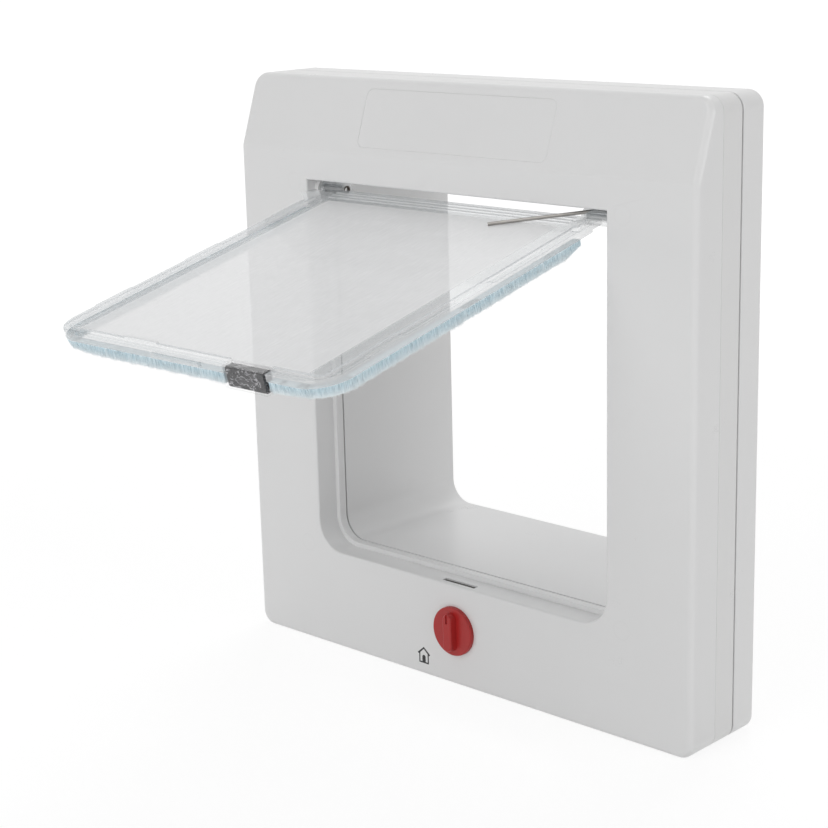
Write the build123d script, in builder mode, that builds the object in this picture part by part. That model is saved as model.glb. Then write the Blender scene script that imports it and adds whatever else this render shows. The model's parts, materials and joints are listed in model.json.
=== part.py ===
from build123d import *
import os
from math import cos, hypot, radians, sin

# Selective cat flap for a door, in millimetres, seen from the room side:
# X to the right, Y out through the door, Z up.
# The origin is the centre of the passage, on the face of the room-side unit that lies on the door.

# Passage and frame outline
passage_width = 150.0
passage_height = 154.0
passage_corner = 12.0
side_border = 38.2
sill_border = 42.0
lintel_border = 40.2
outline_corner = 6.0
shell_wall = 2.4

# Room-side unit: a front cover with a slanted top, and a back cover that meets it at a fine line
front_depth = 26.0
back_cover_depth = 11.2
slant_height = 28.5
slant_setback = 9.8
crease_radius = 5.0
front_edge_radius = 2.5
passage_edge_radius = 0.8
joint_chamfer = 0.2

# Reveal, sealing lip and tunnel
reveal_depth = 10.3
lip_step = 2.0
lip_thickness = 3.5
tunnel_gap = 0.8
tunnel_wall = 2.0
tunnel_reach = 55.0
tunnel_flange = 1.6
tunnel_flange_thickness = 2.2
tunnel_end_chamfer = 0.5
slip_gap = 0.3

# Outside frame and the seal in the seam
seam_gap = 0.7
rear_depth = 13.0
rear_edge_radius = 1.5
seam_edge_radius = 0.4
seal_inset = 1.2
seal_width = 5.0
seal_inner_corner = 1.5

# Four long screws fix the unit through the door: their holes stand just outside the passage
fixing_side_offset = 7.0
fixing_end_inset = 1.0
fixing_hole_radius = 2.1
fixing_boss_radius = 5.0
fixing_hole_depth = 16.0
fixing_head_radius = 4.0
fixing_head_depth = 5.0

# Screws that hold the two covers together
cover_post_inset = 10.0
cover_post_radius = 3.6
cover_boss_height = 2.2
cover_screw_radius = 1.4
cover_screw_clearance = 0.05
cover_screw_length = 12.0
cover_head_radius = 3.0
cover_head_height = 1.8
cover_head_clearance = 0.2

# Hinge of the flap
hinge_setback = 8.0
hinge_drop = 4.0
hinge_boss_radius = 3.6
hinge_boss_reach = 2.0
pin_radius = 1.0
pin_seat_gap = 0.02
pin_running_gap = 0.05
bush_wall = 0.65
lug_radius = 3.2
lug_length = 12.0
lug_end_gap = 0.8

# Flap: a clear moulding, open towards the room at rest
flap_open_angle = 76.3
flap_side_gap = 5.5
flap_sill_gap = 3.0
flap_corner = 13.0
panel_thickness = 1.8
rim_side_inset = 3.2
rim_free_inset = 3.0
rim_width = 1.5
rim_height = 0.7
rim_corner = 2.0
rim_start = 13.0
hinge_edge_drop = 3.0
hinge_bar_radius = 1.0
hinge_rib_height = 0.4
hinge_rib_width = 0.8
hinge_rib_places = (5.6, 8.0, 10.4)

# Clips on the flap: raised pads on the border, with a wall outside and a lip below each pile strip
clip_places = (25.0, 71.0, 115.0)
clip_length = 17.5
clip_corner = 0.8
clip_height = 0.3
free_clip_centre = 0.2
free_clip_length = 24.0
free_clip_reach = 1.5
free_clip_depth = 4.0
inner_clip_centre = -24.0
inner_clip_length = 17.5
inner_clip_width = 1.0
inner_clip_height = 0.7

# Pile strips round the flap's edge, under a thicker border with a channel wall on the inside
brush_start = 16.0
brush_inset = 0.2
brush_thickness = 3.2
brush_height = 5.0
brush_end_height = 2.7
brush_bevel = 8.0
border_thickness = 0.9
border_overlap = 0.9
channel_gap = 0.1
channel_height = 1.0
stop_start = 9.0
stop_start_height = 1.2
stop_rib_places = (10.6, 12.6, 14.6)
stop_rib_width = 0.8
stop_rib_height = 0.4

# Closing magnet in its clip, off centre on the free edge, and its partner under the sill
magnet_centre = 32.9
magnet_width = 18.8
magnet_depth = 4.0
magnet_height = 7.4
magnet_front = 0.8
magnet_edge_reach = 0.2
cup_wall = 0.8
cup_edge_radius = 0.5
sill_magnet_height = 6.0
sill_magnet_depth = 8.0
sill_magnet_setback = 5.0

# Return spring: a bent wire on the right-hand lug, reaching over the flap
wire_radius = 0.65
wire_lift = 2.4
wire_end_gap = 2.2
wire_leg = 5.0
wire_seat_gap = 0.02
wire_reach_across = 34.6
wire_reach_along = 19.4
wire_drop = 0.8
wire_bend_radius = 2.0

# Entry latch in the sill: a pawl that a solenoid lifts in front of the closed flap
latch_travel = 9.0
pawl_width = 16.0
pawl_thickness = 2.0
pawl_guide = 4.0
pawl_recess = 0.5
pawl_gap = 0.3
pawl_foot_width = 10.0
pawl_foot_thickness = 2.0
plunger_radius = 2.5
plunger_gap = 0.05
plunger_foot_gap = 2.5
solenoid_setback = 13.0
solenoid_width = 15.0
solenoid_depth = 13.0
solenoid_height = 17.5

# Manual lock: a knob on the front of the sill, and the cam on its shaft behind the wall
knob_drop = 18.7
knob_radius = 10.0
knob_height = 2.0
knob_edge_radius = 0.6
knob_gap = 0.05
grip_length = 16.0
grip_width = 5.0
grip_height = 3.0
grip_taper = 8.0
grip_edge_radius = 0.6
pointer_length = 4.0
pointer_width = 0.9
pointer_depth = 0.5
shaft_radius = 2.5
shaft_gap = 0.05
cam_radius = 4.0
cam_flat = 3.2
cam_thickness = 1.6
cam_seat_gap = 0.02

# Battery bay behind the slanted face
lid_length = 23.0
lid_top_margin = 4.1
lid_corner = 3.0
lid_thickness = 1.4
lid_gap = 0.12
lid_ledge = 2.0
lid_edge_chamfer = 0.1
tongue_width = 10.0
tongue_spread = 50.0
tongue_stem = 1.4
tongue_height = 1.1
tongue_gap = 0.1
tongue_stem_gap = 0.2
lower_tongue_reach = 1.4
upper_tongue_reach = 0.7
cell_radius = 5.25
cell_length = 43.6
cell_nub_radius = 1.9
cell_nub_length = 0.9
cell_row_pitch = 10.9
cell_gap = 0.2
tray_wall = 1.0
tray_front_gap = 1.3
tray_top_gap = 2.0
contact_thickness = 0.5
contact_size = 8.4
contact_spring_height = 1.0
contact_spring_radius = 3.0
contact_spring_tip = 1.6

# Reader electronics
coil_thickness = 1.4
coil_length = 5.0
coil_gap = 0.1
board_width = 44.0
board_height = 24.0
board_thickness = 1.6
board_standoff = 4.6
standoff_radius = 2.2
standoff_inset = 3.0
chip_size = 9.0
chip_height = 1.6
board_screw_radius = 0.85
board_screw_clearance = 0.05
board_screw_length = 5.4
board_head_radius = 1.6
board_head_height = 1.2

# Places that follow from the sizes above
frame_width = passage_width + 2 * side_border
frame_height = passage_height + sill_border + lintel_border
sill_z = -passage_height / 2
lintel_z = passage_height / 2
frame_top = lintel_z + lintel_border
frame_bottom = sill_z - sill_border
frame_centre_z = (frame_top + frame_bottom) / 2
front_y = -front_depth
rear_y = seam_gap + rear_depth
crease_z = frame_top - slant_height
slant_length = hypot(slant_height, slant_setback)
lip_front = front_depth - reveal_depth
lip_rear = lip_front - lip_thickness
tunnel_front = lip_rear - tunnel_gap
tunnel_side = tunnel_wall - lip_step
fixing_spacing_x = passage_width + 2 * fixing_side_offset
fixing_spacing_z = passage_height - 2 * fixing_end_inset
post_spacing_x = frame_width - 2 * cover_post_inset
post_spacing_z = frame_height - 2 * cover_post_inset
post_start = shell_wall + cover_boss_height
head_seat = cover_head_clearance + cover_head_height

hinge_y = front_y + hinge_setback
hinge_z = lintel_z - hinge_drop
boss_face_x = passage_width / 2 - hinge_boss_reach
lug_outer_x = boss_face_x - lug_end_gap
lug_inner_x = lug_outer_x - lug_length
bush_radius = pin_radius + pin_running_gap + bush_wall
flap_half_width = passage_width / 2 - flap_side_gap
flap_length = hinge_z - sill_z - lip_step - flap_sill_gap
panel_front = panel_thickness / 2
panel_back = -panel_thickness / 2
pile_root = panel_back - border_thickness
open_angle = radians(flap_open_angle)
flap_normal = (0, -cos(open_angle), sin(open_angle))
flap_plane = Plane(origin=(0, hinge_y, hinge_z), x_dir=(1, 0, 0), z_dir=flap_normal)
flap_axis = Axis((0, hinge_y, hinge_z), flap_normal)
flap_side_plane = Plane(origin=(0, hinge_y, hinge_z), x_dir=-flap_plane.y_dir, z_dir=(1, 0, 0))
rim_inner_side = rim_side_inset + rim_width
rim_inner_free = rim_free_inset + rim_width
brush_inner = brush_inset + brush_thickness
brush_corner = flap_corner - brush_inset
border_inner = brush_inner + border_overlap
border_inner_corner = flap_corner - border_inner
channel_outer = brush_inner + channel_gap
channel_corner = flap_corner - channel_outer
brush_inner_corner = flap_corner - brush_inner
cup_half_width = magnet_width / 2 + cup_wall
magnet_inner = flap_length + magnet_edge_reach - magnet_depth

slant_plane = Plane(
    origin=(0, front_y + slant_setback / 2, crease_z + slant_height / 2),
    x_dir=(1, 0, 0),
    z_dir=(0, -slant_height, slant_setback),
)

pawl_top = sill_z - pawl_recess
pawl_height = latch_travel + pawl_guide
pawl_bottom = pawl_top - pawl_height
pawl_y = front_y + shell_wall + pawl_gap + pawl_thickness / 2
solenoid_y = front_y + solenoid_setback
knob_z = sill_z - knob_drop
solenoid_floor = frame_bottom + shell_wall

cell_span = cell_length + cell_nub_length
cell_y = -(shell_wall + tray_wall + cell_gap + cell_radius)
tray_half_width = cell_span + cell_gap / 2 + contact_spring_height + contact_thickness + tray_wall
tray_height = cell_row_pitch + 2 * (cell_radius + cell_gap + tray_wall)
tray_top = frame_top - shell_wall - tray_top_gap
tray_z = tray_top - tray_height / 2
lid_width = 2 * tray_half_width
lid_centre = (slant_length - lid_length) / 2 - lid_top_margin
window_width = lid_width - 2 * lid_ledge
window_length = lid_length - 2 * lid_ledge
board_x = (tray_half_width + post_spacing_x / 2 - cover_post_radius) / 2
board_back = shell_wall + board_standoff
board_front = board_back + board_thickness
screw_pitch_x = board_width - 2 * standoff_inset
screw_pitch_z = board_height - 2 * standoff_inset


def slant_y(z, inset):
    """Y of the slanted face, moved into the wall by inset, at height z."""
    into_wall = inset * slant_length / slant_height
    return front_y + into_wall + (z - crease_z) * slant_setback / slant_height


def outline_face(inset, corner):
    """Rounded rectangle of the frame's outline, drawn inset from it."""
    with BuildSketch() as face:
        with Locations((0, frame_centre_z)):
            RectangleRounded(frame_width - 2 * inset, frame_height - 2 * inset, corner)
    return face.sketch


def passage_face(side, roof):
    """Passage outline with square top corners and round bottom ones, grown by side and roof."""
    with BuildSketch() as face:
        with Locations((0, (roof - side) / 2)):
            Rectangle(passage_width + 2 * side, passage_height + side + roof)
        fillet(face.vertices().group_by(Axis.Y)[0], passage_corner + side)
    return face.sketch


def flap_face(side_inset, free_inset, top, corner):
    """Flap outline below a line at top, drawn inset from the side and free edges."""
    with BuildSketch() as face:
        with Locations((0, -top)):
            Rectangle(
                2 * (flap_half_width - side_inset),
                flap_length - free_inset - top,
                align=(Align.CENTER, Align.MAX),
            )
        fillet(face.vertices().group_by(Axis.Y)[0], corner)
    return face.sketch


def slanted_block(inset, back):
    """Outer form of the front cover from depth back, moved in by inset on its other sides."""
    low_z = crease_z - slant_height
    high_z = frame_top + slant_height
    with BuildPart() as block:
        with BuildSketch(Plane.XZ.offset(back)):
            add(outline_face(inset, outline_corner - inset))
        extrude(amount=front_depth - back - inset)
        with BuildSketch(Plane.YZ):
            with BuildLine():
                Polyline(
                    (slant_y(low_z, inset), low_z),
                    (slant_y(high_z, inset), high_z),
                    (slant_y(low_z, inset), high_z),
                    close=True,
                )
            make_face()
        extrude(amount=frame_width, both=True, mode=Mode.SUBTRACT)
    return block.part


def spring_wire(radius):
    """Bent wire of the return spring, with the given radius."""
    leg_end = lug_outer_x - wire_end_gap
    bend = leg_end - wire_leg
    with BuildPart() as wire:
        with BuildLine(flap_plane) as path:
            FilletPolyline(
                (leg_end, 0, wire_lift),
                (bend, 0, wire_lift),
                (bend - wire_reach_across, -wire_reach_along, wire_lift - wire_drop),
                radius=wire_bend_radius,
            )
        with BuildSketch(Plane(origin=path.wire() @ 0, z_dir=path.wire() % 0)):
            Circle(radius)
        sweep(path=path.wire())
    return wire.part


reveal_face = passage_face(0, 0)
reveal_wall_face = passage_face(shell_wall, shell_wall)
bore_face = passage_face(-lip_step, 0)
tunnel_face = passage_face(tunnel_side, tunnel_wall)
tunnel_flange_face = passage_face(tunnel_side + tunnel_flange, tunnel_wall + tunnel_flange)
tunnel_hole_face = passage_face(tunnel_side + slip_gap, tunnel_wall + slip_gap)
collar_face = passage_face(tunnel_side + slip_gap + shell_wall, tunnel_wall + slip_gap + shell_wall)
coil_inner_face = passage_face(tunnel_side + coil_gap, tunnel_wall + coil_gap)
coil_face = passage_face(tunnel_side + coil_gap + coil_thickness, tunnel_wall + coil_gap + coil_thickness)
tray_depth = -slant_y(tray_top, shell_wall) - shell_wall - tray_front_gap
pieces = {}


# Bosses and posts of the front cover, cut to follow its slanted wall
with BuildPart() as front_posts:
    with BuildSketch(Plane.XZ.offset(shell_wall)):
        with GridLocations(fixing_spacing_x, fixing_spacing_z, 2, 2):
            Circle(fixing_boss_radius)
    extrude(amount=front_depth)
    with BuildSketch(Plane.XZ.offset(post_start)):
        with Locations((0, frame_centre_z)):
            with GridLocations(post_spacing_x, post_spacing_z, 2, 2):
                Circle(cover_post_radius)
    extrude(amount=front_depth)
    add(slanted_block(shell_wall / 2, 0), mode=Mode.INTERSECT)

# Front cover: slanted shell, reveal with its sealing lip, hinge bosses, latch slot and battery window
with BuildPart() as front_cover:
    add(slanted_block(0, back_cover_depth))
    front_edges = front_cover.edges().filter_by(Axis.X).group_by(Axis.Y)[0]
    fillet(front_edges.sort_by(Axis.Z)[-1], crease_radius)
    bottom_edges = front_cover.edges().filter_by(Axis.X).group_by(Axis.Z)[0]
    fillet(bottom_edges.sort_by(Axis.Y)[0], front_edge_radius)
    chamfer(front_cover.faces().sort_by(Axis.Y)[-1].edges(), joint_chamfer)
    add(slanted_block(shell_wall, back_cover_depth), mode=Mode.SUBTRACT)
    with BuildSketch(Plane.XZ.offset(lip_rear)):
        add(reveal_wall_face)
    extrude(amount=front_depth - lip_rear - shell_wall / 2)
    add(front_posts.part)
    with BuildSketch(Plane.XZ.offset(lip_front)):
        add(reveal_face)
    extrude(amount=front_depth, mode=Mode.SUBTRACT)
    with BuildSketch(Plane.XZ.offset(lip_rear)):
        add(bore_face)
    extrude(amount=front_depth, mode=Mode.SUBTRACT)
    fillet(front_cover.faces().sort_by(Axis.Y)[0].inner_wires()[0].edges(), passage_edge_radius)
    for side in (-1, 1):
        with BuildSketch(Plane.YZ.offset(side * boss_face_x)):
            with Locations((hinge_y, hinge_z)):
                Circle(hinge_boss_radius)
        extrude(amount=side * (hinge_boss_reach + shell_wall / 2))
        with BuildSketch(Plane.YZ.offset(side * boss_face_x)):
            with Locations((hinge_y, hinge_z)):
                Circle(pin_radius + pin_seat_gap)
        extrude(amount=side * (hinge_boss_reach + shell_wall), mode=Mode.SUBTRACT)
    with BuildSketch(Plane.XZ.offset(shell_wall)):
        with GridLocations(fixing_spacing_x, fixing_spacing_z, 2, 2):
            Circle(fixing_hole_radius)
    extrude(amount=fixing_hole_depth, mode=Mode.SUBTRACT)
    with BuildSketch(Plane.XZ.offset(post_start)):
        with Locations((0, frame_centre_z)):
            with GridLocations(post_spacing_x, post_spacing_z, 2, 2):
                Circle(cover_screw_radius + cover_screw_clearance)
    extrude(amount=cover_screw_length, mode=Mode.SUBTRACT)
    with BuildSketch(slant_plane):
        with Locations((0, lid_centre)):
            RectangleRounded(lid_width + 2 * lid_gap, lid_length + 2 * lid_gap, lid_corner + lid_gap)
    extrude(amount=-lid_thickness, mode=Mode.SUBTRACT)
    with BuildSketch(slant_plane):
        with Locations((0, lid_centre)):
            RectangleRounded(window_width, window_length, lid_corner)
    extrude(amount=-2 * shell_wall, mode=Mode.SUBTRACT)
    with BuildSketch(Plane.XY.offset(sill_z)):
        with Locations((0, pawl_y)):
            Rectangle(pawl_width + 2 * pawl_gap, pawl_thickness + 2 * pawl_gap)
    extrude(amount=shell_wall, both=True, mode=Mode.SUBTRACT)
    with BuildSketch(Plane.XZ.offset(front_depth)):
        with Locations((0, knob_z)):
            Circle(shaft_radius + shaft_gap)
    extrude(amount=-2 * shell_wall, mode=Mode.SUBTRACT)
pieces["front_cover"] = front_cover

# Back cover: the plate on the door, its side walls, screw bosses and board standoffs
with BuildPart() as back_cover:
    with BuildSketch(Plane.XZ):
        add(outline_face(0, outline_corner))
    extrude(amount=back_cover_depth)
    fillet(back_cover.faces().sort_by(Axis.Y)[-1].edges(), seam_edge_radius)
    chamfer(back_cover.faces().sort_by(Axis.Y)[0].edges(), joint_chamfer)
    with BuildSketch(Plane.XZ.offset(shell_wall)):
        add(outline_face(shell_wall, outline_corner - shell_wall))
    extrude(amount=back_cover_depth, mode=Mode.SUBTRACT)
    with BuildSketch(Plane.XZ.offset(shell_wall)):
        with Locations((0, frame_centre_z)):
            with GridLocations(post_spacing_x, post_spacing_z, 2, 2):
                Circle(cover_post_radius)
    extrude(amount=cover_boss_height)
    with BuildSketch(Plane.XZ.offset(shell_wall)):
        with Locations((board_x, tray_z)):
            with GridLocations(screw_pitch_x, screw_pitch_z, 2, 2):
                Circle(standoff_radius)
                Circle(board_screw_radius + board_screw_clearance, mode=Mode.SUBTRACT)
    extrude(amount=board_standoff)
    with BuildSketch(Plane.XZ):
        add(tunnel_hole_face)
        with GridLocations(fixing_spacing_x, fixing_spacing_z, 2, 2):
            Circle(fixing_hole_radius)
        with Locations((0, frame_centre_z)):
            with GridLocations(post_spacing_x, post_spacing_z, 2, 2):
                Circle(cover_screw_radius + cover_head_clearance)
    extrude(amount=post_start, mode=Mode.SUBTRACT)
    with BuildSketch(Plane.XZ):
        with Locations((0, frame_centre_z)):
            with GridLocations(post_spacing_x, post_spacing_z, 2, 2):
                Circle(cover_head_radius + cover_head_clearance)
    extrude(amount=head_seat, mode=Mode.SUBTRACT)
pieces["back_cover"] = back_cover

# Tunnel through the door, with a flange that seats inside the back cover
with BuildPart() as tunnel:
    with BuildSketch(Plane.XZ.offset(-tunnel_reach)):
        add(tunnel_face)
    extrude(amount=tunnel_reach + tunnel_front)
    chamfer(tunnel.faces().sort_by(Axis.Y)[-1].edges(), tunnel_end_chamfer)
    with BuildSketch(Plane.XZ.offset(shell_wall)):
        add(tunnel_flange_face)
    extrude(amount=tunnel_flange_thickness)
    with BuildSketch(Plane.XZ.offset(-tunnel_reach)):
        add(bore_face)
    extrude(amount=tunnel_reach + tunnel_front, mode=Mode.SUBTRACT)
pieces["tunnel"] = tunnel

# Frame on the outer side of the door: a hollow ring with a collar round the tunnel
with BuildPart() as rear_frame:
    with BuildSketch(Plane.XZ.offset(-rear_y)):
        add(outline_face(0, outline_corner))
    extrude(amount=rear_depth)
    fillet(rear_frame.faces().sort_by(Axis.Y)[-1].edges(), rear_edge_radius)
    fillet(rear_frame.faces().sort_by(Axis.Y)[0].edges(), seam_edge_radius)
    with BuildSketch(Plane.XZ.offset(-seam_gap)):
        add(outline_face(shell_wall, outline_corner - shell_wall))
    extrude(amount=-(rear_depth - shell_wall), mode=Mode.SUBTRACT)
    with BuildSketch(Plane.XZ.offset(-seam_gap)):
        add(collar_face)
        with GridLocations(fixing_spacing_x, fixing_spacing_z, 2, 2):
            Circle(fixing_boss_radius)
    extrude(amount=-(rear_depth - shell_wall / 2))
    with BuildSketch(Plane.XZ.offset(-seam_gap)):
        add(tunnel_hole_face)
        with GridLocations(fixing_spacing_x, fixing_spacing_z, 2, 2):
            Circle(fixing_hole_radius)
    extrude(amount=-rear_depth, mode=Mode.SUBTRACT)
    with BuildSketch(Plane.XZ.offset(-rear_y)):
        with GridLocations(fixing_spacing_x, fixing_spacing_z, 2, 2):
            Circle(fixing_head_radius)
    extrude(amount=fixing_head_depth, mode=Mode.SUBTRACT)
pieces["rear_frame"] = rear_frame

# Foam seal in the seam
with BuildPart() as door_seal:
    with BuildSketch(Plane.XZ.offset(-seam_gap)):
        add(outline_face(seal_inset, outline_corner - seal_inset))
        add(outline_face(seal_inset + seal_width, seal_inner_corner), mode=Mode.SUBTRACT)
    extrude(amount=seam_gap)
pieces["door_seal"] = door_seal

# Screws that hold the two covers together
with BuildPart() as cover_screws:
    with BuildSketch(Plane.XZ.offset(cover_head_clearance)):
        with Locations((0, frame_centre_z)):
            with GridLocations(post_spacing_x, post_spacing_z, 2, 2):
                Circle(cover_head_radius)
    extrude(amount=cover_head_height)
    with BuildSketch(Plane.XZ.offset(head_seat)):
        with Locations((0, frame_centre_z)):
            with GridLocations(post_spacing_x, post_spacing_z, 2, 2):
                Circle(cover_screw_radius)
    extrude(amount=cover_screw_length)
pieces["cover_screws"] = cover_screws

# Battery cover: flush lid with hooks under the ledge of its window
with BuildPart() as battery_cover:
    with BuildSketch(slant_plane):
        with Locations((0, lid_centre)):
            RectangleRounded(lid_width, lid_length, lid_corner)
    extrude(amount=-lid_thickness)
    lid_front = battery_cover.faces().sort_by(Axis(slant_plane.origin, slant_plane.z_dir))[-1]
    chamfer(lid_front.edges(), lid_edge_chamfer)
    for end, reach in ((-1, lower_tongue_reach), (1, upper_tongue_reach)):
        stem_edge = window_length / 2 - tongue_stem_gap
        stem_y = lid_centre + end * (stem_edge - tongue_stem / 2)
        toe_length = tongue_stem + tongue_stem_gap + reach
        toe_y = lid_centre + end * (stem_edge - tongue_stem + toe_length / 2)
        with BuildSketch(slant_plane.offset(-lid_thickness)):
            with Locations((0, stem_y)):
                with GridLocations(tongue_spread, 0, 2, 1):
                    Rectangle(tongue_width, tongue_stem)
        extrude(amount=-(shell_wall - lid_thickness + tongue_gap + tongue_height))
        with BuildSketch(slant_plane.offset(-(shell_wall + tongue_gap))):
            with Locations((0, toe_y)):
                with GridLocations(tongue_spread, 0, 2, 1):
                    Rectangle(tongue_width, toe_length)
        extrude(amount=-tongue_height)
pieces["battery_cover"] = battery_cover

# Battery tray on the back cover, open to the window
with BuildPart() as battery_tray:
    with BuildSketch(Plane.XZ.offset(shell_wall)):
        with Locations((0, tray_z)):
            Rectangle(2 * tray_half_width, tray_height)
    extrude(amount=tray_depth)
    with BuildSketch(Plane.XZ.offset(shell_wall + tray_wall)):
        with Locations((0, tray_z)):
            Rectangle(2 * (tray_half_width - tray_wall), tray_height - 2 * tray_wall)
    extrude(amount=tray_depth, mode=Mode.SUBTRACT)
pieces["battery_tray"] = battery_tray

# Four cells in two rows; the rows point opposite ways
for number, (row, half) in enumerate(((1, -1), (1, 1), (-1, -1), (-1, 1)), 1):
    flat_end = half * (cell_gap + cell_span) / 2 - row * cell_span / 2
    cell_place = (cell_y, tray_z + row * cell_row_pitch / 2)
    with BuildPart() as cell:
        with BuildSketch(Plane.YZ.offset(flat_end)):
            with Locations(cell_place):
                Circle(cell_radius)
        extrude(amount=row * cell_length)
        with BuildSketch(Plane.YZ.offset(flat_end + row * cell_length)):
            with Locations(cell_place):
                Circle(cell_nub_radius)
        extrude(amount=row * cell_nub_length)
    pieces[f"cell_{number}"] = cell

# Sprung contacts at the ends of the tray
with BuildPart() as battery_contacts:
    contact_x = tray_half_width - tray_wall
    spring_x = contact_x - contact_thickness
    for side in (-1, 1):
        for row in (-1, 1):
            contact_place = (cell_y, tray_z + row * cell_row_pitch / 2)
            with BuildSketch(Plane.YZ.offset(side * contact_x)):
                with Locations(contact_place):
                    Rectangle(contact_size, contact_size)
            extrude(amount=-side * contact_thickness)
            with BuildSketch(Plane.YZ.offset(side * spring_x)):
                with Locations(contact_place):
                    Circle(contact_spring_radius)
            with BuildSketch(Plane.YZ.offset(side * (spring_x - contact_spring_height))):
                with Locations(contact_place):
                    Circle(contact_spring_tip)
            loft()
pieces["battery_contacts"] = battery_contacts

# Reader board on its standoffs, with its chip and screws
with BuildPart() as circuit_board:
    with BuildSketch(Plane.XZ.offset(board_back)):
        with Locations((board_x, tray_z)):
            Rectangle(board_width, board_height)
            with GridLocations(screw_pitch_x, screw_pitch_z, 2, 2):
                Circle(board_screw_radius + board_screw_clearance, mode=Mode.SUBTRACT)
    extrude(amount=board_thickness)
pieces["circuit_board"] = circuit_board

with BuildPart() as reader_chip:
    with BuildSketch(Plane.XZ.offset(board_front)):
        with Locations((board_x, tray_z)):
            Rectangle(chip_size, chip_size)
    extrude(amount=chip_height)
pieces["reader_chip"] = reader_chip

with BuildPart() as board_screws:
    with BuildSketch(Plane.XZ.offset(board_front)):
        with Locations((board_x, tray_z)):
            with GridLocations(screw_pitch_x, screw_pitch_z, 2, 2):
                Circle(board_head_radius)
    extrude(amount=board_head_height)
    with BuildSketch(Plane.XZ.offset(board_front)):
        with Locations((board_x, tray_z)):
            with GridLocations(screw_pitch_x, screw_pitch_z, 2, 2):
                Circle(board_screw_radius)
    extrude(amount=-board_screw_length)
pieces["board_screws"] = board_screws

# Reader coil round the tunnel, against its flange
with BuildPart() as antenna_coil:
    with BuildSketch(Plane.XZ.offset(shell_wall + tunnel_flange_thickness)):
        add(coil_face)
        add(coil_inner_face, mode=Mode.SUBTRACT)
    extrude(amount=coil_length)
pieces["antenna_coil"] = antenna_coil

# Closing magnet under the sill
with BuildPart() as sill_magnet:
    with BuildSketch(Plane.XY.offset(sill_z - shell_wall)):
        with Locations((magnet_centre, front_y + sill_magnet_setback + sill_magnet_depth / 2)):
            Rectangle(magnet_width, sill_magnet_depth)
    extrude(amount=-sill_magnet_height)
pieces["sill_magnet"] = sill_magnet

# Entry latch: solenoid on the floor of the unit, plunger and pawl
with BuildPart() as latch_solenoid:
    with BuildSketch(Plane.XY.offset(solenoid_floor)):
        with Locations((0, solenoid_y)):
            Rectangle(solenoid_width, solenoid_depth)
    extrude(amount=solenoid_height)
    with BuildSketch(Plane.XY.offset(solenoid_floor + shell_wall)):
        with Locations((0, solenoid_y)):
            Circle(plunger_radius + plunger_gap)
    extrude(amount=solenoid_height, mode=Mode.SUBTRACT)
pieces["latch_solenoid"] = latch_solenoid

with BuildPart() as latch_plunger:
    with BuildSketch(Plane.XY.offset(pawl_bottom)):
        with Locations((0, solenoid_y)):
            Circle(plunger_radius)
    extrude(amount=-(pawl_bottom - solenoid_floor - plunger_foot_gap))
pieces["latch_plunger"] = latch_plunger

with BuildPart() as latch_pawl:
    with BuildSketch(Plane.XY.offset(pawl_bottom)):
        with Locations((0, pawl_y)):
            Rectangle(pawl_width, pawl_thickness)
    extrude(amount=pawl_height)
    with BuildSketch(Plane.XY.offset(pawl_bottom)):
        with Locations((0, pawl_y)):
            Rectangle(
                pawl_foot_width,
                solenoid_y - pawl_y + pawl_foot_width / 2,
                align=(Align.CENTER, Align.MIN),
            )
    extrude(amount=pawl_foot_thickness)
pieces["latch_pawl"] = latch_pawl

# Manual lock: knob with a tapered grip and a pointer groove, and the cam that keeps it in the wall
with BuildPart() as lock_knob:
    with BuildSketch(Plane.XZ.offset(front_depth + knob_gap)):
        with Locations((0, knob_z)):
            Circle(knob_radius)
    extrude(amount=knob_height - knob_gap)
    fillet(lock_knob.faces().sort_by(Axis.Y)[0].edges(), knob_edge_radius)
    with BuildSketch(Plane.XZ.offset(front_depth + knob_height)):
        with Locations((0, knob_z)):
            SlotOverall(grip_length, grip_width, rotation=90)
    extrude(amount=grip_height, taper=grip_taper)
    fillet(lock_knob.faces().sort_by(Axis.Y)[0].edges(), grip_edge_radius)
    with BuildSketch(Plane.XZ.offset(front_depth + knob_height + grip_height)):
        with Locations((0, knob_z + (grip_length - pointer_length) / 2)):
            Rectangle(pointer_width, pointer_length)
    extrude(amount=-pointer_depth, mode=Mode.SUBTRACT)
    with BuildSketch(Plane.XZ.offset(front_depth + knob_gap)):
        with Locations((0, knob_z)):
            Circle(shaft_radius)
    extrude(amount=-(2 * knob_gap + shell_wall + cam_thickness))
pieces["lock_knob"] = lock_knob

with BuildPart() as lock_cam:
    with BuildSketch(Plane.XZ.offset(front_depth - shell_wall - knob_gap)):
        with Locations((0, knob_z)):
            Circle(cam_radius)
        with Locations((0, knob_z + cam_flat)):
            Rectangle(2 * cam_radius, cam_radius, align=(Align.CENTER, Align.MIN), mode=Mode.SUBTRACT)
        with Locations((0, knob_z)):
            Circle(shaft_radius + cam_seat_gap, mode=Mode.SUBTRACT)
    extrude(amount=-cam_thickness)
pieces["lock_cam"] = lock_cam

# Hinge pins in the cover's bosses, and the bushes that turn on them
for side, name in ((-1, "left"), (1, "right")):
    with BuildPart() as hinge_pin:
        with BuildSketch(Plane.YZ.offset(side * (lug_inner_x + bush_wall))):
            with Locations((hinge_y, hinge_z)):
                Circle(pin_radius)
        extrude(amount=side * (passage_width / 2 + shell_wall / 2 - lug_inner_x))
    pieces[f"hinge_pin_{name}"] = hinge_pin
    with BuildPart() as hinge_bush:
        with BuildSketch(Plane.YZ.offset(side * lug_inner_x)):
            with Locations((hinge_y, hinge_z)):
                Circle(bush_radius)
                Circle(pin_radius + pin_running_gap, mode=Mode.SUBTRACT)
        extrude(amount=side * lug_length)
    pieces[f"hinge_bush_{name}"] = hinge_bush

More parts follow.
